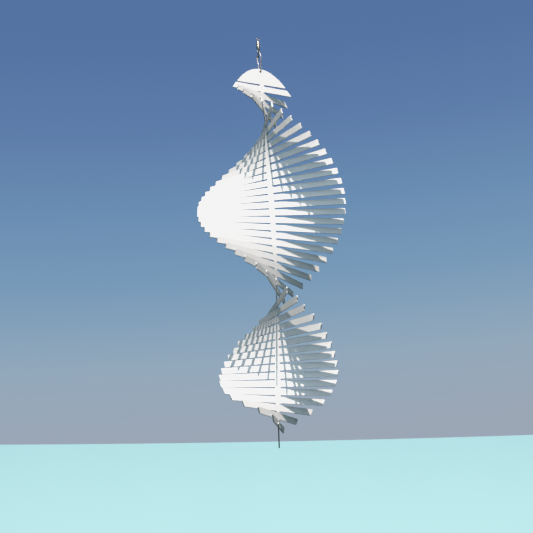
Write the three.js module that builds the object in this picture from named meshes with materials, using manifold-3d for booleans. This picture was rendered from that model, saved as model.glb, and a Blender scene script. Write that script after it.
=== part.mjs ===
// Hanging helix wind spinner: a swivel, a wire snap and a slit sheet twisted into a helix.
// Millimetres, +Z up. The origin is the small flat land on the crown of the upper swivel eye;
// everything hangs below it on the Z axis. The rotor's top cap lies in the XZ plane, facing -Y.
import * as THREE from 'three';
import { mergeVertices } from 'three/addons/utils/BufferGeometryUtils.js';
import Module from 'manifold-3d';

// ---------- rotor sheet: an ellipse slit from both sides, twisted about its uncut band ----------
// azimuth of each plate in degrees, counted down from the top cap
const PLATE_AZIMUTHS = [
  0, 0, 16, 27.5, 38.5, 50, 60, 68.5, 76.5, 84.5, 92.5, 100,
  107.5, 115, 122.5, 130, 137.5, 144.5, 151.5, 159, 165.5, 172.5, 180, 188,
  196, 203.5, 211, 219, 226, 232.5, 240, 247.5, 253, 261, 268.5, 275,
  282.5, 290, 298.5, 309, 320.5, 333, 348, 366.5, 386.5, 404.5, 412.5,
];
const SLITS = PLATE_AZIMUTHS.length - 1;
const SLIT_PITCH = 8.0;
const SLIT_HEIGHT = 1.6;
const CAP_HEIGHT = 18.6;          // tip to the centre of the nearest slit, both ends
const SHEET_HEIGHT = 2 * CAP_HEIGHT + (SLITS - 1) * SLIT_PITCH;
const SHEET_WIDTH = 157.8;
const SHEET_T = 1.2;              // thickness with its coat
const BAND_W = 5.3;               // uncut band down the middle
const HOLE_DROP = 3.0;            // hanging hole centre below the top tip
const HOLE_R = 1.2;
const HOLE_SIDES = 24;
const CAP_STEPS = 14;             // along each side of a cap
const PLATE_END_STEPS = 2;        // along each end of the other plates
const NECK_STEPS = 3;             // along each twisted neck
// slight bow of the hand-twisted band: offset in mm, as coefficients of the powers 1 to 5
// of the depth below the hole in units of BOW_UNIT
const BOW_X = [5.7955, -5.187, 1.8073, -0.2788, 0.0048];
const BOW_Y = [-0.4879, 1.5047, -2.6411, 1.2936, -0.1809];
const BOW_UNIT = 100;

// ---------- swivel eyes ----------
const RING_R = 1.45;              // to the wire centre
const RING_WIRE_R = 0.45;
const RING_OUT = RING_R + RING_WIRE_R;
const RING_WIRE_SIDES = 12;
const LAND_CUT = 0.12;            // depth of the flat land on the upper eye's crown
const CUTTER_W = 6;               // block that cuts the land
const CUTTER_H = 2;
const NECK = 0.77;                // ring to barrel
const FOOT_R = 0.42;              // shank's end inside the ring wire
const FOOT_RISE = 0.1;            // above the wire centre at the bottom of the ring
const SHOULDER_R = 0.62;          // where the shank leaves the ring
const SHOULDER_RISE = 0.05;       // above the outside of the ring
const SHANK_R = 0.55;
const SHANK_DROP = 0.3;           // outside of the ring to the straight shank
const HEAD_R = 1.6;
const HEAD_T = 0.88;
const HEAD_BEVEL = 0.15;
const ROUND_SEGMENTS = 32;        // eyes and washers

// ---------- swivel washers and balls ----------
const WASHER_T = 0.25;
const WASHER_R = 1.64;
const WASHER_HOLE_R = 0.68;
const BALL_R = 0.4;
const BALL_DETAIL = 1;
const BALL_PITCH_R = 1.12;
const BALLS = 8;                  // in each race
const RACE_GAP = 0.02;

// ---------- swivel barrel ----------
const BARREL_L = 9.2;
const BARREL_R = 2.1;
const BARREL_HOLE_R = 0.63;       // end hole round each shank
const BARREL_END_T = 0.6;         // end wall
const BARREL_BORE_R = 1.72;
const BORE_END_R = WASHER_R + 0.04;
const BORE_END_L = 0.1;           // narrowing of the bore at each end
const COLLAR_R = 1.55;            // end collar
const COLLAR_BEVEL = 0.12;
const COLLAR_L = 0.5;
const FLARE_RISE = 0.28;          // radius gained beyond the collar, at the flare's end
const FLARE_END = 0.95;           // barrel end to the flare's end
const TAPER_END = 1.7;            // barrel end to the end of the taper
const TAPER_SHORTFALL = 0.05;     // radius still to gain there
const BLEND_L = 0.5;              // from there to the full radius
const BARREL_SEGMENTS = 40;

// ---------- snap ----------
const SNAP_WIRE_R = 0.6;
const SNAP_TOP = 22.7;            // top bend wire centre above the hanging hole
const SNAP_BOTTOM = 0.35;         // bottom bend wire centre above the hanging hole
const SNAP_GAP = 0.1;             // running gap between the top bend and the eye ring
const SNAP_STEPS = 84;
const SNAP_SIDES = 10;
// wire centreline: [x, y, z above the hanging hole]
const SNAP_PATH = [
  [-0.30, 4.65, 16.7], [0.85, 4.50, 17.1], [1.40, 3.45, 17.9], [1.00, 2.25, 19.1],
  [0.30, 1.60, 20.4], [0.00, 1.22, 21.55], [0.00, 0.83, 22.4], [0.00, 0.00, SNAP_TOP],
  [0.00, -0.85, 22.42], [0.00, -1.50, 21.6], [0.00, -2.42, 19.7], [0.00, -3.12, 17.0],
  [0.00, -3.10, 13.4], [0.00, -2.45, 9.0], [0.00, -1.90, 5.3], [0.00, -1.72, 2.8],
  [0.00, -1.18, 0.95], [0.00, 0.00, SNAP_BOTTOM], [0.00, 1.18, 0.95], [0.00, 1.72, 2.8],
  [0.00, 1.90, 5.3], [0.00, 2.20, 9.0], [0.00, 2.90, 13.2], [0.00, 3.30, 16.0],
  [-0.06, 3.20, 18.1], [-0.40, 2.80, 19.5],
];

// ---------- levels ----------
const Z_UPPER_RING = LAND_CUT - RING_OUT;
const Z_BARREL_TOP = Z_UPPER_RING - RING_OUT - NECK;
const Z_BARREL_MID = Z_BARREL_TOP - BARREL_L / 2;
const Z_LOWER_RING = 2 * Z_BARREL_MID - Z_UPPER_RING;
const Z_SNAP_TOP = Z_LOWER_RING - RING_R + RING_WIRE_R + SNAP_WIRE_R + SNAP_GAP;
const Z_HOLE = Z_SNAP_TOP - SNAP_TOP;
// inward from each barrel end: washer centre, ball centre, bearing face of the eye's head
const WASHER_DEPTH = BARREL_END_T + RACE_GAP + WASHER_T / 2;
const BALL_DEPTH = WASHER_DEPTH + WASHER_T / 2 + RACE_GAP + BALL_R;
const HEAD_DEPTH = BALL_DEPTH + BALL_R + 2 * RACE_GAP;

// ---------- materials ----------
const paint = ({ grey: [red, green, blue], roughness, metalness }) =>
  new THREE.MeshStandardMaterial({
    color: new THREE.Color(red, green, blue),
    roughness,
    metalness,
  });
const white = paint({ grey: [0.90, 0.90, 0.90], roughness: 0.45, metalness: 0 });
const nickel = paint({ grey: [0.55, 0.56, 0.54], roughness: 0.22, metalness: 1 });
const steel = paint({ grey: [0.62, 0.63, 0.62], roughness: 0.3, metalness: 1 });
const ballSteel = paint({ grey: [0.75, 0.76, 0.78], roughness: 0.1, metalness: 1 });

// ---------- mesh and solid helpers ----------
const wasm = await Module();
wasm.setup();

const geometryOf = (positions, triangles) => {
  const geometry = new THREE.BufferGeometry();
  geometry.setAttribute('position', new THREE.Float32BufferAttribute(positions, 3));
  geometry.setIndex(Array.from(triangles));
  geometry.computeVertexNormals();
  return geometry;
};

// joins coincident vertices, with normals and uvs left out of the comparison
const weld = (geometry) => {
  const bare = geometry.clone();
  bare.deleteAttribute('normal');
  bare.deleteAttribute('uv');
  return mergeVertices(bare, 1e-5);
};

const toSolid = (geometry) => {
  const welded = weld(geometry);
  return new wasm.Manifold(new wasm.Mesh({
    numProp: 3,
    vertProperties: new Float32Array(welded.attributes.position.array),
    triVerts: new Uint32Array(welded.index.array),
  }));
};

const fromSolid = (solid) => {
  const mesh = solid.getMesh();
  return geometryOf(mesh.vertProperties, mesh.triVerts);
};

// welds a closed surface, drops its collapsed triangles and turns it right side out
const outward = (geometry) => {
  const welded = weld(geometry);
  const { position } = welded.attributes;
  const corners = welded.index.array;
  const point = (i) => new THREE.Vector3().fromBufferAttribute(position, i);
  const kept = [];
  let volume = 0;
  for (let i = 0; i < corners.length; i += 3) {
    const [a, b, c] = corners.slice(i, i + 3);
    if (a === b || b === c || a === c) continue;
    kept.push(a, b, c);
    volume += point(a).dot(point(b).cross(point(c)));
  }
  if (volume < 0) {
    for (let i = 0; i < kept.length; i += 3) {
      [kept[i + 1], kept[i + 2]] = [kept[i + 2], kept[i + 1]];
    }
  }
  return geometryOf(position.array, kept);
};

// a closed profile of [radius, z] turned about Z
const turned = (profile, segments) => {
  const points = [...profile, profile[0]].map(([radius, z]) => new THREE.Vector2(radius, z));
  return outward(new THREE.LatheGeometry(points, segments).rotateX(Math.PI / 2));
};

// ---------- snap wire ----------
// round wire along a smooth centreline, with flat ends
const snapWire = () => {
  const points = SNAP_PATH.map((station) => new THREE.Vector3(...station));
  const curve = new THREE.CatmullRomCurve3(points, false, 'centripetal');
  const { normals, binormals } = curve.computeFrenetFrames(SNAP_STEPS, false);
  const positions = [];
  const triangles = [];
  for (let i = 0; i <= SNAP_STEPS; i++) {
    const centre = curve.getPointAt(i / SNAP_STEPS);
    for (let j = 0; j < SNAP_SIDES; j++) {
      const angle = (j / SNAP_SIDES) * 2 * Math.PI;
      const point = centre.clone()
        .addScaledVector(normals[i], SNAP_WIRE_R * Math.cos(angle))
        .addScaledVector(binormals[i], SNAP_WIRE_R * Math.sin(angle));
      positions.push(...point);
    }
  }
  for (let i = 0; i < SNAP_STEPS; i++) {
    for (let j = 0; j < SNAP_SIDES; j++) {
      const a = i * SNAP_SIDES + j;
      const b = i * SNAP_SIDES + (j + 1) % SNAP_SIDES;
      const c = a + SNAP_SIDES;
      const d = b + SNAP_SIDES;
      triangles.push(a, b, c, b, d, c);
    }
  }
  const end = SNAP_STEPS * SNAP_SIDES;
  for (let j = 1; j < SNAP_SIDES - 1; j++) {
    triangles.push(0, j + 1, j);
    triangles.push(end, end + j, end + j + 1);
  }
  return outward(geometryOf(positions, triangles));
};

// ---------- rotor sheet ----------
// Depths are measured down from the hanging hole.
const slitDepth = (slit) => CAP_HEIGHT - HOLE_DROP + (slit - 1) * SLIT_PITCH;

const halfWidth = (depth) => {
  const halfHeight = SHEET_HEIGHT / 2;
  const fromCentre = (depth - (halfHeight - HOLE_DROP)) / halfHeight;
  return (SHEET_WIDTH / 2) * Math.sqrt(Math.max(0, 1 - fromCentre ** 2));
};

const bow = (terms, u) => terms.reduce((sum, term, i) => sum + term * u ** (i + 1), 0);
const bowSlope = (terms, u) =>
  terms.reduce((sum, term, i) => sum + term * (i + 1) * u ** i, 0) / BOW_UNIT;

// axes at a point of the band: up it, along the plate, and through the sheet's thickness
const frameOf = (at, up, azimuth) => {
  const angle = THREE.MathUtils.degToRad(azimuth);
  const along = new THREE.Vector3(Math.cos(angle), Math.sin(angle), 0);
  along.addScaledVector(up, -along.dot(up)).normalize();
  const through = new THREE.Vector3().crossVectors(up, along);
  return { at, up, along, through };
};

const bandFrame = (depth, azimuth) => {
  const u = depth / BOW_UNIT;
  const at = new THREE.Vector3(bow(BOW_X, u), bow(BOW_Y, u), -depth);
  const up = new THREE.Vector3(-bowSlope(BOW_X, u), -bowSlope(BOW_Y, u), 1).normalize();
  return frameOf(at, up, azimuth);
};

// side is -1 on the front face, 1 on the back face, 0 midway between them
const place = (frame, across, rise, side) => frame.at.clone()
  .addScaledVector(frame.along, across)
  .addScaledVector(frame.up, rise)
  .addScaledVector(frame.through, side * SHEET_T / 2);

const addPoint = (sheet, point) => sheet.positions.push(...point) / 3 - 1;

// Adds one flat plate, open where the necks join it; returns what the necks need.
const addPlate = (sheet, plate) => {
  const isTop = plate === 0;
  const isBottom = plate === SLITS;
  const top = isTop ? -HOLE_DROP : slitDepth(plate) + SLIT_HEIGHT / 2;
  const bottom = isBottom ? SHEET_HEIGHT - HOLE_DROP : slitDepth(plate + 1) - SLIT_HEIGHT / 2;
  const frameDepth = isTop ? 0 : (top + bottom) / 2;
  const azimuth = PLATE_AZIMUTHS[plate];
  const frame = bandFrame(frameDepth, azimuth);

  // outline as [across, depth], clockwise from the upper right;
  // a cap's steps crowd towards its tip
  const steps = isTop || isBottom ? CAP_STEPS : PLATE_END_STEPS;
  const right = [];
  for (let i = 0; i <= steps; i++) {
    const angle = (i / steps) * Math.PI / 2;
    let fraction = i / steps;
    if (isTop) fraction = 1 - Math.cos(angle);
    if (isBottom) fraction = Math.sin(angle);
    const depth = top + (bottom - top) * fraction;
    right.push([halfWidth(depth), depth]);
  }
  if (isTop) right[0] = [0, top];
  if (isBottom) right[steps] = [0, bottom];
  const left = right.filter(([across]) => across > 0)
    .map(([across, depth]) => [-across, depth])
    .reverse();
  const bandHalf = BAND_W / 2;
  const outline = [
    ...right,
    ...(isBottom ? [] : [[bandHalf, bottom], [-bandHalf, bottom]]),
    ...left,
    ...(isTop ? [] : [[-bandHalf, top], [bandHalf, top]]),
  ];
  const hole = [];
  for (let i = 0; isTop && i < HOLE_SIDES; i++) {
    const angle = -(i / HOLE_SIDES) * 2 * Math.PI;
    hole.push([HOLE_R * Math.cos(angle), HOLE_R * Math.sin(angle)]);
  }

  // front and back faces
  const points = [...outline, ...hole];
  const addFace = (side) => points.map(([across, depth]) =>
    addPoint(sheet, place(frame, across, frameDepth - depth, side)));
  const front = addFace(-1);
  const back = addFace(1);
  const flat = points.map(([across, depth]) => new THREE.Vector2(across, -depth));
  const flatHoles = isTop ? [flat.slice(outline.length)] : [];
  const faces = THREE.ShapeUtils.triangulateShape(flat.slice(0, outline.length), flatHoles);
  for (const [a, b, c] of faces) {
    const anticlockwise = THREE.ShapeUtils.area([flat[a], flat[b], flat[c]]) > 0;
    const [p, q, r] = anticlockwise ? [a, b, c] : [a, c, b];
    sheet.triangles.push(front[p], front[q], front[r], back[p], back[r], back[q]);
  }

  // edge walls, left out where a neck starts
  const bottomNeck = isBottom ? -1 : right.length;
  const topNeck = isTop ? -1 : outline.length - 2;
  const addWall = (start, count) => {
    for (let i = 0; i < count; i++) {
      const a = start + i;
      const b = start + (i + 1) % count;
      if (a === bottomNeck || a === topNeck) continue;
      sheet.triangles.push(front[a], front[b], back[a], front[b], back[b], back[a]);
    }
  };
  addWall(0, outline.length);
  addWall(outline.length, hole.length);

  const corners = (l, r) => [front[l], front[r], back[r], back[l]];
  return {
    frame,
    azimuth,
    topMid: place(frame, 0, frameDepth - top, 0),
    bottomMid: place(frame, 0, frameDepth - bottom, 0),
    topCorners: isTop ? null : corners(topNeck, topNeck + 1),
    bottomCorners: isBottom ? null : corners(bottomNeck + 1, bottomNeck),
  };
};

// the twisted piece of band between two plates
const addNeck = (sheet, upper, lower) => {
  const section = [[-1, -1], [1, -1], [1, 1], [-1, 1]];
  const sectionAt = (w) => {
    const at = upper.bottomMid.clone().lerp(lower.topMid, w);
    const up = upper.frame.up.clone().lerp(lower.frame.up, w).normalize();
    const frame = frameOf(at, up, upper.azimuth + (lower.azimuth - upper.azimuth) * w);
    return section.map(([end, side]) =>
      addPoint(sheet, place(frame, end * BAND_W / 2, 0, side)));
  };
  let above = upper.bottomCorners;
  for (let i = 1; i <= NECK_STEPS; i++) {
    const below = i === NECK_STEPS ? lower.topCorners : sectionAt(i / NECK_STEPS);
    for (let j = 0; j < 4; j++) {
      const k = (j + 1) % 4;
      sheet.triangles.push(above[j], below[j], above[k], above[k], below[j], below[k]);
    }
    above = below;
  }
};

const rotorSheet = () => {
  const sheet = { positions: [], triangles: [] };
  const plates = PLATE_AZIMUTHS.map((_, plate) => addPlate(sheet, plate));
  for (let i = 0; i < SLITS; i++) addNeck(sheet, plates[i], plates[i + 1]);
  return outward(geometryOf(sheet.positions, sheet.triangles));
};

// ---------- swivel ----------
// a ring in the XZ plane about the origin, a shank below it and a flat head that bears on the balls
const eye = ({ land }) => {
  const wireSection = [];
  for (let i = 0; i < RING_WIRE_SIDES; i++) {
    const angle = ((i + 0.5) / RING_WIRE_SIDES) * 2 * Math.PI;
    wireSection.push([RING_R + RING_WIRE_R * Math.cos(angle), RING_WIRE_R * Math.sin(angle)]);
  }
  const ring = turned(wireSection, ROUND_SEGMENTS).rotateX(Math.PI / 2);
  const foot = -RING_R + FOOT_RISE;
  const seat = -RING_OUT - NECK - HEAD_DEPTH;
  const shank = turned([
    [0, foot], [FOOT_R, foot],
    [SHOULDER_R, -RING_OUT + SHOULDER_RISE],
    [SHANK_R, -RING_OUT - SHANK_DROP], [SHANK_R, seat],
    [HEAD_R, seat], [HEAD_R, seat - HEAD_T + HEAD_BEVEL],
    [HEAD_R - HEAD_BEVEL, seat - HEAD_T], [0, seat - HEAD_T],
  ], ROUND_SEGMENTS);
  let solid = toSolid(ring).add(toSolid(shank));
  if (land) {
    const cutter = new THREE.BoxGeometry(CUTTER_W, CUTTER_W, CUTTER_H)
      .translate(0, 0, RING_OUT - LAND_CUT + CUTTER_H / 2);
    solid = solid.subtract(toSolid(cutter));
  }
  return fromSolid(solid);
};

const barrel = () => {
  // [radius, distance from the barrel's end], from the bore round the end to the outside
  const half = [
    [BARREL_BORE_R, BARREL_END_T + BORE_END_L],
    [BORE_END_R, BARREL_END_T],
    [BARREL_HOLE_R, BARREL_END_T],
    [BARREL_HOLE_R, 0],
    [COLLAR_R - COLLAR_BEVEL, 0],
    [COLLAR_R, COLLAR_BEVEL],
    [COLLAR_R, COLLAR_L],
    [COLLAR_R + FLARE_RISE, FLARE_END],
    [BARREL_R - TAPER_SHORTFALL, TAPER_END],
    [BARREL_R, TAPER_END + BLEND_L],
  ];
  const lower = half.map(([radius, inset]) => [radius, inset - BARREL_L / 2]);
  const upper = lower.map(([radius, z]) => [radius, -z]).reverse();
  return turned([...lower, ...upper], BARREL_SEGMENTS);
};

const washer = () => turned([
  [WASHER_HOLE_R, -WASHER_T / 2], [WASHER_R, -WASHER_T / 2],
  [WASHER_R, WASHER_T / 2], [WASHER_HOLE_R, WASHER_T / 2],
], ROUND_SEGMENTS);

const ball = () => outward(new THREE.IcosahedronGeometry(BALL_R, BALL_DETAIL));

// ---------- assembly ----------
const spinner = new THREE.Group();

const addGroup = (z) => {
  const group = new THREE.Group();
  group.position.z = z;
  spinner.add(group);
  return group;
};

const addMesh = (name, geometry, material, parent) => {
  const mesh = new THREE.Mesh(geometry, material);
  mesh.name = name;
  parent.add(mesh);
  return mesh;
};

const upperSide = addGroup(Z_UPPER_RING);
addMesh('upper_eye', eye({ land: true }), nickel, upperSide);

const swivel = addGroup(Z_BARREL_MID);
addMesh('swivel_barrel', barrel(), nickel, swivel);
const SIDES = [['upper', 1], ['lower', -1]];
for (const [side, sign] of SIDES) {
  const mesh = addMesh(`${side}_washer`, washer(), steel, swivel);
  mesh.position.z = sign * (BARREL_L / 2 - WASHER_DEPTH);
}
for (const [side, sign] of SIDES) {
  for (let i = 0; i < BALLS; i++) {
    const angle = (i / BALLS) * 2 * Math.PI;
    addMesh(`${side}_ball_${i + 1}`, ball(), ballSteel, swivel).position.set(
      BALL_PITCH_R * Math.cos(angle),
      BALL_PITCH_R * Math.sin(angle),
      sign * (BARREL_L / 2 - BALL_DEPTH),
    );
  }
}

// the lower eye is the same forging turned over, without the land
const lowerSide = addGroup(Z_LOWER_RING);
lowerSide.rotation.y = Math.PI;
addMesh('lower_eye', eye({ land: false }), nickel, lowerSide);

const hanging = addGroup(Z_HOLE);
addMesh('snap_wire', snapWire(), nickel, hanging);
addMesh('rotor_sheet', rotorSheet(), white, hanging);

export default spinner;
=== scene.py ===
# Hanging helix wind spinner: fine surfaces, finishes, floor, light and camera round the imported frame.
import math
import bmesh
import bpy
import numpy as np
from mathutils import Matrix, Vector


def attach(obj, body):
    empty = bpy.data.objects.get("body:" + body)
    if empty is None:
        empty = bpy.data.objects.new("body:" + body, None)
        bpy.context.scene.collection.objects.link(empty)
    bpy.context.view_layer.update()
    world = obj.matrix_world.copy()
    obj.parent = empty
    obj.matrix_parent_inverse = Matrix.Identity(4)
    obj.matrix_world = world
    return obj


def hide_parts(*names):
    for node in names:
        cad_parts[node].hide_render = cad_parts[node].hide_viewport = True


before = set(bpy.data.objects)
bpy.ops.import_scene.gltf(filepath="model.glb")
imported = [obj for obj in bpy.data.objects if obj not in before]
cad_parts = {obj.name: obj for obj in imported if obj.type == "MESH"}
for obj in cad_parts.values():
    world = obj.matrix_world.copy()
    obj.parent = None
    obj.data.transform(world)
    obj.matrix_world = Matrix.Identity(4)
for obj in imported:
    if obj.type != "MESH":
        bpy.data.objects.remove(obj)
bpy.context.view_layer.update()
MM = 0.001

# ------------------------------------------------------------------ dimensions (mm), as the frame has them
SHEET_H, SHEET_W, SHEET_T = 397.2, 157.8, 1.2
PITCH, SLIT, SLITS, CAP, BAND_W = 8.0, 1.6, 46, 18.6, 5.3
HOLE_DROP, HOLE_R = 3.0, 1.2
TWIST = [0, 0, 16, 27.5, 38.5, 50, 60, 68.5, 76.5, 84.5, 92.5, 100, 107.5, 115, 122.5, 130, 137.5, 144.5,
         151.5, 159, 165.5, 172.5, 180, 188, 196, 203.5, 211, 219, 226, 232.5, 240, 247.5, 253, 261, 268.5, 275,
         282.5, 290, 298.5, 309, 320.5, 333, 348, 366.5, 386.5, 404.5, 412.5]
BOW_X = [5.7955, -5.187, 1.8073, -0.2788, 0.0048]
BOW_Y = [-0.4879, 1.5047, -2.6411, 1.2936, -0.1809]
RING_R, RING_WIRE_R, NECK, SHANK_R = 1.45, 0.45, 0.77, 0.55
BARREL_L, BARREL_R, BARREL_END_R, BARREL_TAPER, BARREL_BORE_R = 9.2, 2.1, 1.55, 1.7, 1.72
BARREL_HOLE_R, BARREL_END_T = 0.63, 0.6
WASHER_T, WASHER_R, WASHER_HOLE_R = 0.25, 1.64, 0.68
BALL_R, BALL_PITCH_R, BALLS, RACE_GAP, HEAD_R, HEAD_T = 0.4, 1.12, 8, 0.02, 1.6, 0.88
SNAP_WIRE_R, SNAP_TOP, PIN_RISE, SNAP_GAP, LAND_CUT = 0.6, 22.7, 0.35, 0.1, 0.12
SNAP_PATH = [
    (-0.30, -4.65, 16.7), (0.85, -4.50, 17.1), (1.40, -3.45, 17.9), (1.00, -2.25, 19.1), (0.30, -1.60, 20.4),
    (0.00, -1.22, 21.55), (0.00, -0.83, 22.4), (0.00, 0.00, SNAP_TOP), (0.00, 0.85, 22.42), (0.00, 1.50, 21.6),
    (0.00, 2.42, 19.7), (0.00, 3.12, 17.0), (0.00, 3.10, 13.4), (0.00, 2.45, 9.0), (0.00, 1.90, 5.3),
    (0.00, 1.72, 2.8), (0.00, 1.18, 0.95), (0.00, 0.00, PIN_RISE), (0.00, -1.18, 0.95), (0.00, -1.72, 2.8),
    (0.00, -1.90, 5.3), (0.00, -2.20, 9.0), (0.00, -2.90, 13.2), (0.00, -3.30, 16.0), (-0.06, -3.20, 18.1), (-0.40, -2.80, 19.5)]

RING_OUT = RING_R + RING_WIRE_R
Z_UPPER_RING = LAND_CUT - RING_OUT
Z_BARREL_MID = Z_UPPER_RING - RING_OUT - NECK - BARREL_L / 2
Z_LOWER_RING = 2 * Z_BARREL_MID - Z_UPPER_RING
Z_HOLE = Z_LOWER_RING - RING_R + RING_WIRE_R + SNAP_WIRE_R + SNAP_GAP - SNAP_TOP


# ------------------------------------------------------------------ mesh helpers
def new_object(name, verts, faces, smooth=True):
    me = bpy.data.meshes.new(name)
    me.from_pydata([tuple(v) for v in verts], [], faces)
    me.validate()
    me.update()
    ob = bpy.data.objects.new(name, me)
    bpy.context.scene.collection.objects.link(ob)
    if smooth:
        me.polygons.foreach_set("use_smooth", [True] * len(me.polygons))
    return ob


def fix_normals(ob):
    bm = bmesh.new()
    bm.from_mesh(ob.data)
    bmesh.ops.recalc_face_normals(bm, faces=bm.faces)
    bm.to_mesh(ob.data)
    bm.free()
    ob.data.update()


def apply_modifiers(ob):
    dg = bpy.context.evaluated_depsgraph_get()
    me = bpy.data.meshes.new_from_object(ob.evaluated_get(dg), preserve_all_data_layers=True, depsgraph=dg)
    old = ob.data
    ob.modifiers.clear()
    ob.data = me
    bpy.data.meshes.remove(old)


def sharp_by_angle(ob, degrees):
    bm = bmesh.new()
    bm.from_mesh(ob.data)
    lim = math.radians(degrees)
    for e in bm.edges:
        e.smooth = not (len(e.link_faces) == 2 and e.calc_face_angle(0.0) > lim)
    for f in bm.faces:
        f.smooth = True
    bm.to_mesh(ob.data)
    bm.free()


def turned(name, profile, z0=0.0, segments=96):
    """A solid turned about Z from a profile of (radius, z) in mm; radius 0 at an end closes it on the axis."""
    verts, faces, rings = [], [], []
    for r, z in profile:
        if r < 1e-9:
            rings.append([len(verts)])
            verts.append((0, 0, (z + z0) * MM))
        else:
            start = len(verts)
            for i in range(segments):
                a = 2 * math.pi * i / segments
                verts.append((r * math.cos(a) * MM, r * math.sin(a) * MM, (z + z0) * MM))
            rings.append(list(range(start, start + segments)))
    closed = all(len(r) > 1 for r in rings)
    n = len(rings)
    for i in range(n if closed else n - 1):
        a, b = rings[i], rings[(i + 1) % n]
        for j in range(segments):
            k = (j + 1) % segments
            if len(a) == 1:
                faces.append((a[0], b[k], b[j]))
            elif len(b) == 1:
                faces.append((a[j], a[k], b[0]))
            else:
                faces.append((a[j], a[k], b[k], b[j]))
    ob = new_object(name, verts, faces)
    fix_normals(ob)
    return ob


def rounded(profile, radius, steps=4, keep=()):
    """Rounds the corners of a closed or open (radius, z) profile, where they turn by more than a little."""
    pts = [np.array(p, float) for p in profile]
    closed = all(p[0] > 1e-9 for p in pts)
    out = []
    n = len(pts)
    for i, p in enumerate(pts):
        if not closed and i in (0, n - 1):
            out.append(tuple(p))
            continue
        a, b = pts[i - 1], pts[(i + 1) % n]
        u, v = a - p, b - p
        lu, lv = np.linalg.norm(u), np.linalg.norm(v)
        u, v = u / lu, v / lv
        ang = math.acos(max(-1, min(1, float(u @ v))))
        if i in keep or ang > math.radians(176):
            out.append(tuple(p))
            continue
        r = min(radius, 0.45 * min(lu, lv) * math.tan(ang / 2))
        t = r / math.tan(ang / 2)
        c = p + (u + v) / np.linalg.norm(u + v) * (r / math.sin(ang / 2))
        s, e = p + u * t - c, p + v * t - c
        s0 = math.atan2(s[1], s[0])
        d = math.atan2(e[1], e[0]) - s0
        d = (d + math.pi) % (2 * math.pi) - math.pi
        for k in range(steps + 1):
            x = s0 + d * k / steps
            out.append((c[0] + r * math.cos(x), c[1] + r * math.sin(x)))
    return out


def centripetal(points, per):
    """Dense centripetal Catmull-Rom curve through the points."""
    pts = [np.array(p, float) for p in points]
    pts = [2 * pts[0] - pts[1]] + pts + [2 * pts[-1] - pts[-2]]
    out = []
    for i in range(1, len(pts) - 2):
        p0, p1, p2, p3 = pts[i - 1:i + 3]
        d0, d1, d2 = (np.linalg.norm(b - a) ** 0.5 for a, b in ((p0, p1), (p1, p2), (p2, p3)))
        t1 = ((p1 - p0) / d0 - (p2 - p0) / (d0 + d1) + (p2 - p1) / d1) * d1
        t2 = ((p2 - p1) / d1 - (p3 - p1) / (d1 + d2) + (p3 - p2) / d2) * d1
        for k in range(per):
            t = k / per
            out.append((2 * p1 - 2 * p2 + t1 + t2) * t ** 3 + (-3 * p1 + 3 * p2 - 2 * t1 - t2) * t ** 2 + t1 * t + p1)
    out.append(pts[-2])
    return np.array(out)


def wire_piece(name, path, radius, sides=28):
    """Round wire along a dense path in mm, with cropped ends slightly rounded over."""
    d = np.gradient(path, axis=0)
    d /= np.linalg.norm(d, axis=1)[:, None]
    n = np.cross(d[0], (1, 0.2, 0))
    n /= np.linalg.norm(n)
    rings = []
    for i in range(len(path)):
        n = n - (n @ d[i]) * d[i]
        n /= np.linalg.norm(n)
        rings.append((path[i], n.copy(), np.cross(d[i], n), d[i]))
    verts, faces = [], []

    def ring(c, u, v, r):
        for j in range(sides):
            a = 2 * math.pi * j / sides
            verts.append(tuple((c + r * math.cos(a) * u + r * math.sin(a) * v) * MM))

    # each end: flat face, rounded rim, then the wire; each entry is (distance inward along the wire, share of radius)
    edge = 0.3 * radius
    rim = [(0.0, 0.5), (0.0, 1 - edge / radius)]
    for x in (30, 60, 90):
        a = math.radians(x)
        rim.append((edge * (1 - math.cos(a)), 1 - edge / radius * (1 - math.sin(a))))
    c, u, v, t = rings[0]
    for back, share in rim:
        ring(c + t * back, u, v, radius * share)
    count = len(rim)
    first = next(i for i in range(len(rings)) if np.linalg.norm(path[i] - path[0]) > edge * 1.3)
    last = next(i for i in range(len(rings) - 1, 0, -1) if np.linalg.norm(path[i] - path[-1]) > edge * 1.3)
    for c, u, v, t in rings[first:last + 1]:
        ring(c, u, v, radius)
        count += 1
    c, u, v, t = rings[-1]
    for back, share in reversed(rim):
        ring(c - t * back, u, v, radius * share)
        count += 1
    for i in range(count - 1):
        for j in range(sides):
            k = (j + 1) % sides
            faces.append((i * sides + j, i * sides + k, (i + 1) * sides + k, (i + 1) * sides + j))
    faces.append(tuple(reversed(range(sides))))
    faces.append(tuple(range((count - 1) * sides, count * sides)))
    ob = new_object(name, verts, faces)
    fix_normals(ob)
    sharp_by_angle(ob, 40)
    return ob


# ------------------------------------------------------------------ rotor sheet
ELL_A, ELL_B = SHEET_W / 2, SHEET_H / 2
FIRST_SLIT, CENTRE_DEPTH, HB, FILLET = CAP - HOLE_DROP, SHEET_H / 2 - HOLE_DROP, BAND_W / 2, SLIT / 2


def poly(c, u):
    return sum(k * u ** (i + 1) for i, k in enumerate(c))


def dpoly(c, u):
    return sum(k * (i + 1) * u ** i for i, k in enumerate(c))


def slit_depth(s):
    return FIRST_SLIT + (s - 1) * PITCH


def half_width(d):
    return ELL_A * math.sqrt(max(0.0, 1 - ((d - CENTRE_DEPTH) / ELL_B) ** 2))


def band_frame(depth):
    u = depth / 100
    at = np.array([poly(BOW_X, u), poly(BOW_Y, u), -depth])
    up = np.array([-dpoly(BOW_X, u) / 100, -dpoly(BOW_Y, u) / 100, 1.0])
    return at, up / np.linalg.norm(up)


PLATE_CORNER = 0.9     # the slats' corners are rounded over
ROOT = 0.3             # how far inside a slat the mesh of a neck starts
COAT_EDGE = 0.15       # the coated edge between face and thickness


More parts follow.
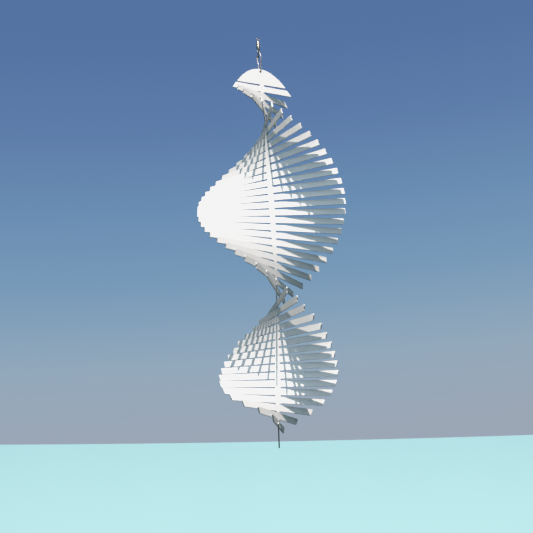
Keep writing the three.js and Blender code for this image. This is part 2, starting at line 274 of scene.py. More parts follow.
def placed(at, up, depth0, azimuth, s, depth, side):
    a = math.radians(azimuth)
    al = np.array([math.cos(a), math.sin(a), 0.0])
    al = al - (al @ up) * up
    al /= np.linalg.norm(al)
    face = np.cross(up, al)
    return at + al * s + up * (depth0 - depth) + face * (side * SHEET_T / 2)


def round_corner(pts, i, radius, steps=4):
    """Rounds corner i of a closed loop of (s, depth) points over, taking out the points it swallows."""
    n = len(pts)
    p = np.array(pts[i])

    def walk(step, reach):
        j, here, left = i, p, reach
        while True:
            nxt = np.array(pts[(j + step) % n])
            d = np.linalg.norm(nxt - here)
            if d > left:
                return (j + step) % n, here + (nxt - here) * left / d
            left -= d
            here, j = nxt, (j + step) % n

    def ahead(step):
        q = walk(step, 1.6)[1] - p
        return q / np.linalg.norm(q)

    u, v = ahead(-1), ahead(1)
    half = math.acos(float(u @ v)) / 2
    reach = radius / math.tan(half)
    ia, a = walk(-1, reach)
    ib, b = walk(1, reach)
    c = p + (u + v) / np.linalg.norm(u + v) * radius / math.sin(half)
    arc = []
    for k in range(1, steps):
        w = k / steps
        q = a * (1 - w) + b * w - c
        arc.append(tuple(c + q / np.linalg.norm(q) * radius))
    out, j = [], ib
    while True:
        out.append(tuple(pts[j]))
        if j == ia:
            break
        j = (j + 1) % n
    return out + [tuple(a)] + arc + [tuple(b)]


def rotor_mesh():
    """The sheet as (vertices, faces, walls); a wall is (front i, front j, back j, back i) across the thickness."""
    verts, faces, walls = [], [], []

    def add(p):
        verts.append(np.array((p[0], p[1], p[2] + Z_HOLE)))
        return len(verts) - 1

    inner = [0.0, 0.9, 1.8, HB, HB + FILLET * 0.5, HB + FILLET]     # columns from the band's middle to the slit's end
    outer = [4.6, 6.0, 8.0, 12.0, 20.0]
    neck_rows = 10
    plates = SLITS + 1
    info = []
    for k in range(plates):
        first, last = k == 0, k == plates - 1
        top = -HOLE_DROP if first else slit_depth(k) + SLIT / 2
        bottom = SHEET_H - HOLE_DROP if last else slit_depth(k + 1) - SLIT / 2
        mid = 0.0 if first else (top + bottom) / 2
        at, up = band_frame(mid)
        info.append((top, bottom, mid, at, up))

    def neck_half(x):
        """Half-width of the neck at x from -1 (upper slit edge) to 1 (lower slit edge): the slit ends are round."""
        return HB + FILLET * (1 - math.sqrt(max(0.0, 1 - x * x)))

    def root(x):
        """How far the edge row is set in at x: only where a neck leaves it."""
        return ROOT if abs(x) < HB + FILLET - 1e-6 else 0.0

    edge_rows = {}
    r, r3, r6 = PLATE_CORNER, PLATE_CORNER * math.sin(math.radians(30)), PLATE_CORNER * math.sin(math.radians(60))
    for k in range(plates):
        top, bottom, mid, at, up = info[k]
        if 0 < k < plates - 1:
            h = bottom - top
            inside = [0, 0.65, 1.1, 1.7, 2.4]
            levels = [top + x for x in inside] + [(top + bottom) / 2] + [bottom - x for x in reversed(inside)]
            ends = [(r, 0.0), (r - r3, r - r6), (r - r6, r - r3), (0.0, r), (0.0, 2.0)]      # (in from the outline, down)
            ends = [(a, top + b) for a, b in ends] + [(0.0, (top + bottom) / 2)] + [(a, bottom - b) for a, b in reversed(ends)]
            grid = {}
            for side in (-1, 1):
                for i, d in enumerate(levels):
                    full = half_width((top + bottom) / 2)
                    arm = inner[1:] + outer + [full - 3.2]
                    cut, de = ends[i]
                    way = 1 if i == 0 else -1 if i == len(levels) - 1 else 0
                    points = [(x, d + way * root(x)) for x in arm] + [(half_width(de) - cut, de)]
                    points = [(-x, y) for x, y in reversed(points)] + [(0.0, d + way * root(0))] + points
                    grid[side, i] = [add(placed(at, up, mid, TWIST[k], s, y, side)) for s, y in points]
                    width = len(points)
            for i in range(len(levels) - 1):
                for j in range(width - 1):
                    a, b, c, d4 = grid[-1, i][j], grid[-1, i][j + 1], grid[-1, i + 1][j + 1], grid[-1, i + 1][j]
                    faces.append((a, d4, c, b))
                    a, b, c, d4 = grid[1, i][j], grid[1, i][j + 1], grid[1, i + 1][j + 1], grid[1, i + 1][j]
                    faces.append((a, b, c, d4))
                for j in (0, width - 1):
                    walls.append((grid[1, i][j], grid[1, i + 1][j], grid[-1, i + 1][j], grid[-1, i][j]))
            lo = len(outer) + 2                # first column of the neck's edge
            hi = width - 1 - lo
            for i in (0, len(levels) - 1):
                for j in range(width - 1):
                    if not lo <= j < hi:
                        walls.append((grid[1, i][j], grid[1, i][j + 1], grid[-1, i][j + 1], grid[-1, i][j]))
            edge_rows[k, "top"] = [grid[-1, 0][lo:hi + 1], grid[1, 0][lo:hi + 1]]
            edge_rows[k, "bottom"] = [grid[-1, len(levels) - 1][lo:hi + 1], grid[1, len(levels) - 1][lo:hi + 1]]
        else:
            # a cap: arc, slit edge, and in the top cap the hanging hole. Each face is two plain polygons.
            first = k == 0
            steps = 44
            arc = []
            for i in range(1, steps + 1):
                d = (bottom - top) * (1 - math.cos(i / steps * math.pi / 2))
                d = top + d if first else bottom - d
                arc.append((half_width(d), d))
            straight = bottom if first else top
            tip = top if first else bottom
            way = -1 if first else 1
            line = [(x, straight + way * root(x)) for x in reversed(inner + outer)]  # from the outer end to the middle
            hole = []
            if first:
                for i in range(25):
                    a = math.pi * i / 24
                    hole.append((HOLE_R * math.sin(a), HOLE_R * math.cos(a)))     # from below (depth +) round to above
            half = round_corner([(0.0, tip)] + arc + line + hole, len(arc), PLATE_CORNER)
            start = min(range(len(half)), key=lambda i: abs(half[i][0]) + abs(half[i][1] - tip))
            half = half[start:] + half[:start]
            ids, loops = {}, {}
            for side in (-1, 1):
                for sg in (1, -1):
                    clean = []
                    for s, d in half:
                        if not clean or abs(sg * s - clean[-1][0]) + abs(d - clean[-1][1]) > 1e-6:
                            clean.append((sg * s, d))
                    loop = []
                    for s, d in clean:
                        key = (round(s, 5) + 0.0, round(d, 5), side)
                        if key not in ids:
                            ids[key] = add(placed(at, up, mid, TWIST[k], s, d, side))
                        loop.append(ids[key])
                    loops[side, sg] = loop
                    loops["pts", sg] = clean
                    faces.append(tuple(loop))
            for sg in (1, -1):
                pts, b, f = loops["pts", sg], loops[-1, sg], loops[1, sg]
                for i in range(len(pts)):
                    j = (i + 1) % len(pts)
                    p, q = pts[i], pts[j]
                    if abs(p[0]) < 1e-6 and abs(q[0]) < 1e-6:
                        continue                                      # the seam down the middle
                    on_line = abs(p[1] - straight) < ROOT + 1e-6 and abs(q[1] - straight) < ROOT + 1e-6
                    if on_line and max(abs(p[0]), abs(q[0])) < HB + FILLET + 1e-6:
                        continue                                      # the neck leaves here
                    walls.append((f[i], f[j], b[j], b[i]))
            cols = [-x for x in reversed(inner[1:])] + inner
            edge_rows[k, "bottom" if first else "top"] = [
                [ids[(round(s, 5) + 0.0, round(straight + way * root(s), 5), side)] for s in cols] for side in (-1, 1)]

    # necks: rows of the same columns, squeezed to the neck's width, carried smoothly from plate to plate
    cols = np.array([-x for x in reversed(inner[1:])] + inner)
    full = HB + FILLET
    for k in range(plates - 1):
        top0, bottom0, mid0, at0, up0 = info[k]
        top1, bottom1, mid1, at1, up1 = info[k + 1]
        rows = [edge_rows[k, "bottom"]]
        for i in range(1, neck_rows):
            # rows bunch a little towards the round slit ends
            x = -math.cos(math.pi * i / neck_rows)
            x = 0.5 * x + 0.5 * (2 * i / neck_rows - 1)
            w = (x + 1) / 2
            w3 = w * w * (3 - 2 * w) * 0.7 + w * 0.3
            scale = neck_half(x) / full
            up = up0 * (1 - w) + up1 * w
            up = up / np.linalg.norm(up)
            c0 = at0 + up0 * (mid0 - bottom0)
            c1 = at1 + up1 * (mid1 - top1)
            az = TWIST[k] + (TWIST[k + 1] - TWIST[k]) * w3
            rows.append([[add(placed(c0 * (1 - w) + c1 * w, up, 0.0, az, float(s) * scale, 0.0, side)) for s in cols]
                         for side in (-1, 1)])
        rows.append(edge_rows[k + 1, "top"])
        for i in range(len(rows) - 1):
            for j in range(len(cols) - 1):
                faces.append((rows[i][0][j], rows[i + 1][0][j], rows[i + 1][0][j + 1], rows[i][0][j + 1]))
                faces.append((rows[i][1][j], rows[i][1][j + 1], rows[i + 1][1][j + 1], rows[i + 1][1][j]))
            for j in (0, len(cols) - 1):
                walls.append((rows[i][1][j], rows[i + 1][1][j], rows[i + 1][0][j], rows[i][0][j]))
    return verts, faces, walls


def soften_edges(verts, faces, walls, radius):
    """Rounds both long edges of every wall, so the coat runs round from face to thickness as it does on the sheet."""
    bm = bmesh.new()
    vs = [bm.verts.new(tuple(v * MM)) for v in verts]
    for f in faces:
        bm.faces.new([vs[i] for i in f])
    tagged = [bm.faces.new([vs[i] for i in w]) for w in walls]
    bmesh.ops.recalc_face_normals(bm, faces=bm.faces)
    open_edges = [e for e in bm.edges if len(e.link_faces) != 2]
    if open_edges:
        print("rotor open edges:", len(open_edges), [tuple(round(c * 1000, 2) for c in e.verts[0].co) for e in open_edges[:6]])
    normals = [np.array(f.normal) for f in tagged]
    bm.free()
    total, seen = {}, {}
    for w, n in zip(walls, normals):
        for f in (w[0], w[1]):
            seen.setdefault(f, []).append(n)
    back_of = {}
    for w in walls:
        back_of[w[0]], back_of[w[1]] = w[3], w[2]
    rim = {}
    for f, ns in seen.items():
        out = sum(ns)
        out /= np.linalg.norm(out)
        out /= max(0.6, float(out @ ns[0]))
        b = back_of[f]
        pf, pb = verts[f].copy(), verts[b].copy()
        nf = (pf - pb) / np.linalg.norm(pf - pb)
        c = 1 - math.sqrt(0.5)
        ring = [pf - out * radius * c - nf * radius * c, pf - nf * radius, pb + nf * radius, pb - out * radius * c + nf * radius * c]
        verts[f] = pf - out * radius
        verts[b] = pb - out * radius
        at = len(verts)
        verts.extend(ring)
        rim[f] = [f, at, at + 1, at + 2, at + 3, b]
    for w in walls:
        a, b = rim[w[0]], rim[w[1]]
        for i in range(5):
            faces.append((a[i], b[i], b[i + 1], a[i + 1]))
    cut = np.zeros(len(verts))
    for f, ns in seen.items():
        turn = 1.0 if math.hypot(verts[f][0], verts[f][1]) < 12 else min(float(ns[0] @ n) for n in ns)
        for i in rim[f][1:5]:
            cut[i] = 1.0 if turn > 0.97 else 0.0            # the coat pools on the rounded corners and stays whole
    return verts, faces, cut


def build_rotor():
    verts, faces, cut = soften_edges(*rotor_mesh(), COAT_EDGE)
    ob = new_object("rotor_sheet_fine", [tuple(v * MM) for v in verts], faces)
    ob.data.attributes.new("cut", "FLOAT", "POINT").data.foreach_set("value", cut.astype(np.float32))
    fix_normals(ob)
    ob.data.polygons.foreach_set("use_smooth", [True] * len(ob.data.polygons))
    wn = ob.modifiers.new("flat_faces", "WEIGHTED_NORMAL")
    wn.mode = "FACE_AREA"
    wn.weight = 60
    apply_modifiers(ob)
    return ob


# ------------------------------------------------------------------ swivel and snap
def torus(name, major, minor, centre_z, segs=72, sides=28):
    """Ring in the XZ plane."""
    verts, faces = [], []
    for i in range(segs):
        a = 2 * math.pi * i / segs
        for j in range(sides):
            b = 2 * math.pi * (j + 0.5) / sides
            r = major + minor * math.cos(b)
            verts.append((r * math.sin(a) * MM, minor * math.sin(b) * MM, (r * math.cos(a) + centre_z) * MM))
    for i in range(segs):
        for j in range(sides):
            k, m = (i + 1) % segs, (j + 1) % sides
            faces.append((i * sides + j, i * sides + m, k * sides + m, k * sides + j))
    ob = new_object(name, verts, faces)
    fix_normals(ob)
    return ob


def build_eye(name, upper):
    sign = 1.0 if upper else -1.0
    cz = Z_UPPER_RING if upper else Z_LOWER_RING
    ring = torus(name, RING_R, RING_WIRE_R, cz)
    top = -RING_OUT - NECK
    seat = top - BARREL_END_T - 4 * RACE_GAP - WASHER_T - 2 * BALL_R
    foot = -RING_R + 0.12
    prof = [(0, foot), (0.30, foot), (0.44, foot - 0.12), (0.60, -RING_OUT + 0.10), (0.60, -RING_OUT - 0.02),
            (SHANK_R + 0.02, -RING_OUT - 0.25), (SHANK_R, -RING_OUT - 0.45), (SHANK_R, seat + 0.06), (SHANK_R + 0.06, seat),
            (HEAD_R - 0.06, seat), (HEAD_R, seat - 0.06), (HEAD_R, seat - HEAD_T + 0.18), (HEAD_R - 0.06, seat - HEAD_T + 0.07),
            (HEAD_R - 0.2, seat - HEAD_T), (0.35, seat - HEAD_T), (0.28, seat - HEAD_T + 0.06), (0, seat - HEAD_T + 0.08)]
    shank = turned(name + "_shank", [(r, sign * z) for r, z in prof], cz, 72)
    boolean = ring.modifiers.new("join", "BOOLEAN")
    boolean.operation = "UNION"
    boolean.solver = "EXACT"
    boolean.object = shank
    apply_modifiers(ring)
    bpy.data.objects.remove(shank)
    if upper:
        land = 0.0
        for v in ring.data.vertices:
            if v.co.z > land:
                v.co.z = land
    fix_normals(ring)
    sharp_by_angle(ring, 38)
    return ring


def build_barrel():
    h = BARREL_L / 2
    outer = [(BARREL_HOLE_R, -h), (BARREL_END_R, -h), (BARREL_END_R, -h + 0.5), (BARREL_END_R + 0.28, -h + 0.95),
             (BARREL_R - 0.05, -h + BARREL_TAPER), (BARREL_R, -h + BARREL_TAPER + 0.5)]
    upper = [(r, -z) for r, z in reversed(outer)]
    inner = [(BARREL_HOLE_R, h - BARREL_END_T), (WASHER_R + 0.04, h - BARREL_END_T), (BARREL_BORE_R, h - BARREL_END_T - 0.1),
             (BARREL_BORE_R, -h + BARREL_END_T + 0.1), (WASHER_R + 0.04, -h + BARREL_END_T), (BARREL_HOLE_R, -h + BARREL_END_T)]
    prof = rounded(outer + upper + inner, 0.14, 4)
    ob = turned("swivel_barrel_fine", prof, Z_BARREL_MID, 96)
    sharp_by_angle(ob, 45)
    return ob


def build_washer(name, z):
    t = WASHER_T / 2
    prof = rounded([(WASHER_HOLE_R, -t), (WASHER_R, -t), (WASHER_R, t), (WASHER_HOLE_R, t)], 0.04, 3)
    ob = turned(name, prof, z, 72)
    sharp_by_angle(ob, 45)
    return ob


def build_ball(name, x, y, z):
    bm = bmesh.new()
    bmesh.ops.create_icosphere(bm, subdivisions=3, radius=BALL_R * MM)
    bmesh.ops.translate(bm, verts=bm.verts, vec=(x * MM, y * MM, z * MM))
    me = bpy.data.meshes.new(name)
    bm.to_mesh(me)
    bm.free()
    me.polygons.foreach_set("use_smooth", [True] * len(me.polygons))
    ob = bpy.data.objects.new(name, me)
    bpy.context.scene.collection.objects.link(ob)
    return ob


def wire_uv(ob, path, sides=28):
    """U runs along the wire and V round it, for the drawing lines of the wire."""
    path = path * MM
    seg = np.linalg.norm(np.diff(path, axis=0), axis=1)
    run = np.concatenate([[0], np.cumsum(seg)])
    d = np.gradient(path, axis=0)
    d /= np.linalg.norm(d, axis=1)[:, None]
    co = np.zeros(len(ob.data.vertices) * 3)
    ob.data.vertices.foreach_get("co", co)
    co = co.reshape(-1, 3)
    along, around = np.zeros(len(co)), np.zeros(len(co))
    for i, p in enumerate(co):
        j = int(np.argmin(((path - p) ** 2).sum(1)))
        q = p - path[j]
        along[i] = run[j] + q @ d[j]
        n = np.cross(d[j], (0.99, 0.1, 0.05))
        n /= np.linalg.norm(n)
        b = np.cross(d[j], n)
        around[i] = math.atan2(q @ b, q @ n)
    a1 = ob.data.attributes.new("along", "FLOAT", "POINT")
    a1.data.foreach_set("value", (along / MM).astype(np.float32))
    a2 = ob.data.attributes.new("around", "FLOAT_VECTOR", "POINT")
    vec = np.stack([np.cos(around), np.sin(around), along / MM * 0.02], 1).astype(np.float32)
    a2.data.foreach_set("vector", vec.ravel())


# ------------------------------------------------------------------ materials
class Nodes:
    """Short-hand for a Principled material's node tree."""

    def __init__(self, name):
        self.mat = bpy.data.materials.new(name)
        self.mat.use_nodes = True
        self.t = self.mat.node_tree
        self.bsdf = next(n for n in self.t.nodes if n.type == "BSDF_PRINCIPLED")

    def new(self, kind, **props):
        n = self.t.nodes.new(kind)
        for k, v in props.items():
            if k == "op":
                n.operation = v
            else:
                setattr(n, k, v)
        return n

    def link(self, a, b):
        self.t.links.new(a, b)

    def coords(self, scale=(1, 1, 1)):
        tc = self.new("ShaderNodeTexCoord")
        mp = self.new("ShaderNodeMapping")
        mp.inputs["Scale"].default_value = scale
        self.link(tc.outputs["Object"], mp.inputs["Vector"])
        return mp.outputs["Vector"]

    def noise(self, vector, scale, detail=3.0, rough=0.55):
        n = self.new("ShaderNodeTexNoise")
        n.inputs["Scale"].default_value = scale
        n.inputs["Detail"].default_value = detail
        n.inputs["Roughness"].default_value = rough
        if vector is not None:
            self.link(vector, n.inputs["Vector"])
        return n.outputs["Fac"]

    def ramp(self, fac, stops):
        r = self.new("ShaderNodeValToRGB")
        el = r.color_ramp.elements
        while len(el) < len(stops):
            el.new(0.5)
        for e, (pos, c) in zip(el, stops):
            e.position = pos
            e.color = (*c, 1.0) if len(c) == 3 else c
        self.link(fac, r.inputs["Fac"])
        return r.outputs["Color"]

    def math(self, op, a, b=None, clamp=False):
        m = self.new("ShaderNodeMath", op=op)
        m.use_clamp = clamp
        for i, x in enumerate((a, b)):
            if x is None:
                continue
            if isinstance(x, (int, float)):
                m.inputs[i].default_value = x
            else:
                self.link(x, m.inputs[i])
        return m.outputs[0]

    def span(self, fac, lo, hi, a=0.0, b=1.0):
        m = self.new("ShaderNodeMapRange")
        m.clamp = True
        for i, x in enumerate((None, lo, hi, a, b)):
            if x is not None:
                m.inputs[i].default_value = x
        self.link(fac, m.inputs[0])
        return m.outputs[0]

    def mix(self, fac, a, b):
        m = self.new("ShaderNodeMix", data_type="RGBA")
        if isinstance(fac, (int, float)):
            m.inputs["Factor"].default_value = fac
        else:
            self.link(fac, m.inputs["Factor"])
        ins = [i for i in m.inputs if i.type == "RGBA"]
        for sock, x in zip(ins, (a, b)):
            if isinstance(x, tuple):
                sock.default_value = (*x, 1.0)
            else:
                self.link(x, sock)
        return next(o for o in m.outputs if o.type == "RGBA")

    def attribute(self, name, out="Fac"):
        a = self.new("ShaderNodeAttribute")
        a.attribute_name = name
        return a.outputs[out]

    def bump(self, height, strength, distance, chain=None):
        b = self.new("ShaderNodeBump")
        b.inputs["Strength"].default_value = strength
        b.inputs["Distance"].default_value = distance
        self.link(height, b.inputs["Height"])
        if chain is not None:
            self.link(chain, b.inputs["Normal"])
        return b.outputs["Normal"]


def white_coat():
    m = Nodes("white_powder_coat")
    v = m.coords()
    broad = m.noise(v, 9.0, 2.0)
    fine = m.noise(v, 420.0, 3.0)
    col = m.mix(m.span(broad, 0.35, 0.65), (0.83, 0.835, 0.83), (0.87, 0.87, 0.862))
    speck = m.span(m.noise(v, 1900.0, 1.0), 0.74, 0.80)
    col = m.mix(m.math("MULTIPLY", speck, 0.16), col, (0.45, 0.45, 0.43))
    # settled dust on what faces up, in soft patches
    geo = m.new("ShaderNodeNewGeometry")
    sep = m.new("ShaderNodeSeparateXYZ")
    m.link(geo.outputs["Normal"], sep.inputs[0])
    up = m.span(sep.outputs["Z"], 0.55, 0.95)
    dust = m.math("MULTIPLY", up, m.span(m.noise(v, 60.0, 3.0), 0.35, 0.7, 0.05, 0.22))
    col = m.mix(dust, col, (0.50, 0.48, 0.43))
    # coat thinned where the necks were twisted, and worn through round the hanging hole
    bend = m.attribute("bend")
    thin = m.math("MULTIPLY", bend, m.span(m.noise(v, 700.0, 4.0, 0.7), 0.45, 0.7, 0.0, 0.20))
    col = m.mix(thin, col, (0.60, 0.61, 0.61))
    at = m.new("ShaderNodeSeparateXYZ")
    m.link(v, at.inputs[0])
    rise = m.math("SUBTRACT", at.outputs["Z"], Z_HOLE * MM)
    reach = m.math("SQRT", m.math("ADD", m.math("POWER", at.outputs["X"], 2.0), m.math("POWER", m.math("ABSOLUTE", rise), 2.0)))
    near = m.span(reach, HOLE_R * MM, (HOLE_R + 0.9) * MM, 1.0, 0.0)
    rub = m.math("MULTIPLY", near, m.span(rise, -0.5 * HOLE_R * MM, HOLE_R * MM))
    bare = m.span(m.math("ADD", rub, m.math("MULTIPLY", m.noise(v, 1500.0, 4.0), 0.55)), 0.98, 1.08)
    # the cut edges of the sheet hold hardly any coat
    edge = m.math("MULTIPLY", m.span(m.attribute("cut"), 0.35, 0.95), m.span(m.noise(v, 240.0, 4.0, 0.65), 0.30, 0.55, 0.72, 1.0))
    bare = m.math("MAXIMUM", bare, edge)
    col = m.mix(bare, col, (0.47, 0.46, 0.44))
    m.link(col, m.bsdf.inputs["Base Color"])
    rough = m.math("ADD", m.span(fine, 0.3, 0.7, 0.50, 0.62), m.math("MULTIPLY", dust, 0.5), True)
    rough = m.math("SUBTRACT", rough, m.math("MULTIPLY", bare, 0.16), True)
    m.link(rough, m.bsdf.inputs["Roughness"])
    m.link(bare, m.bsdf.inputs["Metallic"])
    m.bsdf.inputs["Specular IOR Level"].default_value = 0.30
    peel = m.noise(v, 620.0, 2.0, 0.45)
    grain = m.noise(v, 2600.0, 2.0, 0.5)
    n = m.bump(peel, 0.22, 0.00012)
    n = m.bump(grain, 0.10, 0.00003, n)
    m.link(n, m.bsdf.inputs["Normal"])
    return m.mat


def metal(name, base, dark, rough, lines=None, tarnish=0.25):
    """Bright metal: slight patches of tarnish, hairline marks along or round the piece, and soft smudges."""
    m = Nodes(name)
    v = m.coords()
    patch = m.span(m.noise(v, 900.0, 4.0, 0.6), 0.42, 0.72)
    col = m.mix(m.math("MULTIPLY", patch, tarnish), base, dark)
    if lines == "turned":
        lv = m.coords((0.05, 0.05, 6.0))
        mark = m.noise(lv, 2400.0, 2.0, 0.6)
    elif lines == "drawn":
        a = m.attribute("around", "Vector")
        mp = m.new("ShaderNodeMapping")
        mp.inputs["Scale"].default_value = (5.0, 5.0, 1.0)
        m.link(a, mp.inputs["Vector"])
        mark = m.noise(mp.outputs["Vector"], 6.0, 3.0, 0.65)
    else:
        mark = m.noise(v, 5200.0, 2.0)
    col = m.mix(m.span(mark, 0.55, 0.8, 0.0, 0.22), col, dark)
    m.link(col, m.bsdf.inputs["Base Color"])
    m.bsdf.inputs["Metallic"].default_value = 1.0
    r = m.math("ADD", m.span(m.noise(v, 1300.0, 3.0), 0.3, 0.75, rough * 0.75, rough * 1.5),
               m.span(mark, 0.4, 0.8, 0.0, 0.08), True)
    m.link(r, m.bsdf.inputs["Roughness"])
    n = m.bump(mark, 0.10, 0.00001)
    m.link(n, m.bsdf.inputs["Normal"])
    if lines == "turned":
        # the turning marks run round the piece and draw its highlight out along it
        tan = m.new("ShaderNodeTangent", direction_type="RADIAL", axis="Z")
        m.link(tan.outputs[0], m.bsdf.inputs["Tangent"])
        m.bsdf.inputs["Anisotropic"].default_value = 0.75
        m.bsdf.inputs["Anisotropic Rotation"].default_value = 0.25
    return m.mat


def use(ob, mat):
    ob.data.materials.clear()
    ob.data.materials.append(mat)


# ------------------------------------------------------------------ build
WHITE = white_coat()
NICKEL = metal("nickel_plate", (0.62, 0.61, 0.57), (0.26, 0.25, 0.21), 0.32, "turned", 0.22)
SPRING = metal("spring_wire", (0.44, 0.44, 0.44), (0.20, 0.20, 0.19), 0.44, "drawn", 0.25)
WASHER = metal("washer_steel", (0.55, 0.55, 0.54), (0.18, 0.16, 0.13), 0.28, None, 0.35)
BALL = metal("ball_steel", (0.74, 0.75, 0.77), (0.40, 0.40, 0.42), 0.07, None, 0.08)

rotor = build_rotor()
co = np.zeros(len(rotor.data.vertices) * 3)
rotor.data.vertices.foreach_get("co", co)
co = co.reshape(-1, 3) / MM
depth = Z_HOLE - co[:, 2]
ax = np.array([[poly(BOW_X, d / 100), poly(BOW_Y, d / 100)] for d in depth])
off = np.hypot(co[:, 0] - ax[:, 0], co[:, 1] - ax[:, 1])
phase = np.abs((depth - FIRST_SLIT + PITCH / 2) % PITCH - PITCH / 2)
bend = np.clip(1 - (off - 2.6) / 2.2, 0, 1) * np.clip(1 - (phase - 0.5) / 1.4, 0, 1)
bend[(depth < FIRST_SLIT - 2) | (depth > FIRST_SLIT + (SLITS - 1) * PITCH + 2)] = 0
rotor.data.attributes.new("bend", "FLOAT", "POINT").data.foreach_set("value", bend.astype(np.float32))
use(rotor, WHITE)
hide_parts("rotor_sheet")
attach(rotor, "rotor")

path = centripetal([(x, -f, z + Z_HOLE) for x, f, z in SNAP_PATH], 14)
snap = wire_piece("snap_wire_fine", path, SNAP_WIRE_R)
wire_uv(snap, path)
use(snap, SPRING)
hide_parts("snap_wire")
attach(snap, "snap")

for name, upper, body in (("upper_eye", True, "upper_eye"), ("lower_eye", False, "lower_eye")):
    ob = build_eye(name + "_fine", upper)
    use(ob, NICKEL)
    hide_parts(name)
    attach(ob, body)

ob = build_barrel()
use(ob, NICKEL)
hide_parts("swivel_barrel")
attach(ob, "barrel")

WASHER_Z = BARREL_L / 2 - BARREL_END_T - RACE_GAP - WASHER_T / 2
BALL_Z = WASHER_Z - WASHER_T / 2 - RACE_GAP - BALL_R
for side, sign in (("upper", 1), ("lower", -1)):
    ob = build_washer(side + "_washer_fine", Z_BARREL_MID + sign * WASHER_Z)
    use(ob, WASHER)
    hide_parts(side + "_washer")
    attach(ob, "barrel")
    for i in range(BALLS):
        a = 2 * math.pi * i / BALLS
        ob = build_ball(f"{side}_ball_{i + 1}_fine", BALL_PITCH_R * math.cos(a), BALL_PITCH_R * math.sin(a),
                        Z_BARREL_MID + sign * BALL_Z)
        use(ob, BALL)
        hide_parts(f"{side}_ball_{i + 1}")
        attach(ob, side + "_balls")

# ------------------------------------------------------------------ camera
CAM_AT = Vector((-0.6317999, -0.8078544, -0.4813535))
YAW, PITCH_UP, ROLL, FOCAL_PX = 0.6562, 0.2208, -0.0704, 1033.01
fwd = Vector((math.sin(YAW) * math.cos(PITCH_UP), math.cos(YAW) * math.cos(PITCH_UP), math.sin(PITCH_UP)))
right0 = Vector((math.cos(YAW), -math.sin(YAW), 0))
up0 = right0.cross(fwd)
right = math.cos(ROLL) * right0 + math.sin(ROLL) * up0
up = -math.sin(ROLL) * right0 + math.cos(ROLL) * up0
level = Vector((fwd.x, fwd.y, 0)).normalized()

cam_data = bpy.data.cameras.new("camera")
cam = bpy.data.objects.new("camera", cam_data)
bpy.context.scene.collection.objects.link(cam)
cam_data.sensor_fit = "HORIZONTAL"
cam_data.sensor_width = 36.0
cam_data.lens = 36.0 * FOCAL_PX / 533.0
cam_data.clip_start, cam_data.clip_end = 0.01, 200.0
cam.matrix_world = Matrix((
    (right.x, up.x, -fwd.x, CAM_AT.x), (right.y, up.y, -fwd.y, CAM_AT.y), (right.z, up.z, -fwd.z, CAM_AT.z), (0, 0, 0, 1)))
bpy.context.scene.camera = cam

# ------------------------------------------------------------------ floor
# one pale sheet: a level disc that sweeps up at its rim into a low wall, as a studio's does. It is far below the
# object, which hangs, and turned a little about the line of sight, since the object hangs a little off plumb.
FLOOR_Z, FLOOR_R, RIM_TOP, STAGE_TILT, FLOOR_GLOW = -1.35, 9.0, 0.115, 0.0505, 1.3
profile = [(0.0, 0.0), (3.0, 0.0), (6.0, 0.0)]
sweep = RIM_TOP - FLOOR_Z
for i in range(25):
    a = math.pi / 2 * i / 24
    profile.append((FLOOR_R + math.sin(a) * sweep * 0.9, (1 - math.cos(a)) * sweep))
verts, faces = [(0, 0, FLOOR_Z)], []
for r, z in profile[1:]:
    for i in range(128):
        a = 2 * math.pi * i / 128
        verts.append((r * math.cos(a), r * math.sin(a), FLOOR_Z + z))
for i in range(128):
    faces.append((0, 1 + i, 1 + (i + 1) % 128))
for k in range(len(profile) - 2):
    for i in range(128):
        j = (i + 1) % 128
        faces.append((1 + k * 128 + i, 1 + (k + 1) * 128 + i, 1 + (k + 1) * 128 + j, 1 + k * 128 + j))
floor = new_object("floor", verts, faces)
floor.matrix_world = Matrix.Rotation(STAGE_TILT, 4, level)
fm = Nodes("pale_floor")
fv = fm.coords()
fc = fm.mix(fm.span(fm.noise(fv, 0.5, 3.0), 0.3, 0.7), (0.218, 0.373, 0.392), (0.226, 0.385, 0.404))
path_node = fm.new("ShaderNodeLightPath")
tint = fm.mix(path_node.outputs["Is Camera Ray"], (0.012, 0.045, 0.045), fm.mix(0.5, fc, (0.0, 0.0, 0.0)))
fm.link(tint, fm.bsdf.inputs["Base Color"])
# a little light of its own for the camera only, so that the side away from the key stays pale
fm.link(fc, fm.bsdf.inputs["Emission Color"])
fm.link(fm.math("MULTIPLY", path_node.outputs["Is Camera Ray"], FLOOR_GLOW), fm.bsdf.inputs["Emission Strength"])
fm.bsdf.inputs["Roughness"].default_value = 0.85
fm.bsdf.inputs["Specular IOR Level"].default_value = 0.1
use(floor, fm.mat)

# ------------------------------------------------------------------ light
scene = bpy.context.scene
scene.view_settings.view_transform = "Standard"
scene.view_settings.look = "None"
# a soft shoulder, so that the lit white keeps its modelling
scene.view_settings.use_curve_mapping = True
cm = scene.view_settings.curve_mapping
cm.use_clip = False
shoulder = cm.curves[3]
shoulder.points[0].location = (0.0, 0.0)
shoulder.points[1].location = (2.6, 0.985)
for x, y in ((0.55, 0.55), (0.75, 0.74), (0.95, 0.875), (1.1, 0.932), (1.4, 0.958)):
    shoulder.points.new(x, y)
for point in shoulder.points:
    point.handle_type = "AUTO_CLAMPED"
cm.update()


def srgb(r, g, b):
    return tuple((c / 255 / 12.92 if c / 255 <= 0.04045 else ((c / 255 + 0.055) / 1.055) ** 2.4) for c in (r, g, b)) + (1.0,)


world = bpy.data.worlds.new("studio")
scene.world = world
world.use_nodes = True
wt = world.node_tree
wt.nodes.clear()


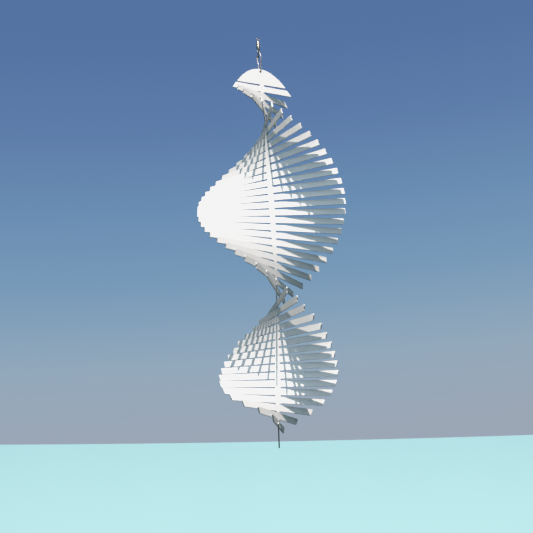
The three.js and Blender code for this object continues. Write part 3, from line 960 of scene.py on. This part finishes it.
def gradient(stops, along=None, spread=None):
    """Colour by height above the horizon, as the sine of the elevation; spread scales it between two cosines to along."""
    tc = wt.nodes.new("ShaderNodeTexCoord")
    sep = wt.nodes.new("ShaderNodeSeparateXYZ")
    wt.links.new(tc.outputs["Generated"], sep.inputs[0])
    half = wt.nodes.new("ShaderNodeMath")
    half.operation = "MULTIPLY_ADD"
    half.inputs[1].default_value = half.inputs[2].default_value = 0.5
    wt.links.new(sep.outputs["Z"], half.inputs[0])
    ramp = wt.nodes.new("ShaderNodeValToRGB")
    el = ramp.color_ramp.elements
    while len(el) < len(stops):
        el.new(0.5)
    for e, (z, c) in zip(el, stops):
        e.position, e.color = 0.5 + 0.5 * z, c
    wt.links.new(half.outputs[0], ramp.inputs["Fac"])
    bg = wt.nodes.new("ShaderNodeBackground")
    wt.links.new(ramp.outputs["Color"], bg.inputs["Color"])
    if along is not None:
        away = wt.nodes.new("ShaderNodeVectorMath")
        away.operation = "DOT_PRODUCT"
        wt.links.new(tc.outputs["Generated"], away.inputs[0])
        away.inputs[1].default_value = along
        fade = wt.nodes.new("ShaderNodeMapRange")
        for i, x in enumerate(spread):
            fade.inputs[i + 1].default_value = x
        wt.links.new(away.outputs["Value"], fade.inputs[0])
        wt.links.new(fade.outputs[0], bg.inputs["Strength"])
    return bg.outputs[0]


backdrop = gradient([(-1, srgb(146, 158, 172)), (0.0, srgb(156, 166, 180)), (0.063, srgb(155, 166, 181)), (0.13, srgb(146, 168, 187)),
                     (0.206, srgb(120, 154, 185)), (0.281, srgb(105, 140, 178)), (0.353, srgb(93, 124, 169)),
                     (0.416, srgb(85, 116, 163)), (1.0, srgb(62, 92, 140))])
dome = gradient([(-1, (0.045, 0.07, 0.06, 1)), (-0.05, (0.07, 0.10, 0.09, 1)), (0.05, (0.545, 0.675, 0.79, 1)), (1.0, (0.565, 0.705, 0.83, 1))],
                (-level * math.cos(0.10) - right0 * math.sin(0.10)), (0.18, 1.0, 0.05, 2.3))
shine = gradient([(-1, (0.03, 0.035, 0.03, 1)), (-0.06, (0.035, 0.045, 0.035, 1)), (0.06, (0.06, 0.08, 0.05, 1)),
                  (0.18, (0.10, 0.14, 0.13, 1)), (0.34, (0.26, 0.34, 0.44, 1)), (1.0, (0.14, 0.22, 0.38, 1))], level, (-0.3, 0.8, 1.0, 0.3))
lp = wt.nodes.new("ShaderNodeLightPath")
wout = wt.nodes.new("ShaderNodeOutputWorld")
m1 = wt.nodes.new("ShaderNodeMixShader")
m2 = wt.nodes.new("ShaderNodeMixShader")
wt.links.new(lp.outputs["Is Glossy Ray"], m1.inputs["Fac"])
wt.links.new(dome, m1.inputs[1])
wt.links.new(shine, m1.inputs[2])
wt.links.new(lp.outputs["Is Camera Ray"], m2.inputs["Fac"])
wt.links.new(m1.outputs[0], m2.inputs[1])
wt.links.new(backdrop, m2.inputs[2])
wt.links.new(m2.outputs[0], wout.inputs["Surface"])


def distant_light(name, direction, strength, angle, color):
    li = bpy.data.lights.new(name, "SUN")
    li.energy = strength
    li.angle = math.radians(angle)
    li.color = color
    ob = bpy.data.objects.new(name, li)
    scene.collection.objects.link(ob)
    ob.rotation_mode = "QUATERNION"
    ob.rotation_quaternion = (-direction.normalized()).to_track_quat("-Z", "Y")
    ob.location = direction.normalized() * 3
    return ob


# the key stands high behind the camera; the fill is broad, weak and from behind
distant_light("key", Vector((-0.3555, -0.5474, 0.7576)), 5.15, 0.53, (1.0, 0.87, 0.78))
distant_light("fill", right0 * 0.15 + level * 0.9 + Vector((0, 0, 0.45)), 0.8, 40.0, (0.92, 0.96, 1.0))
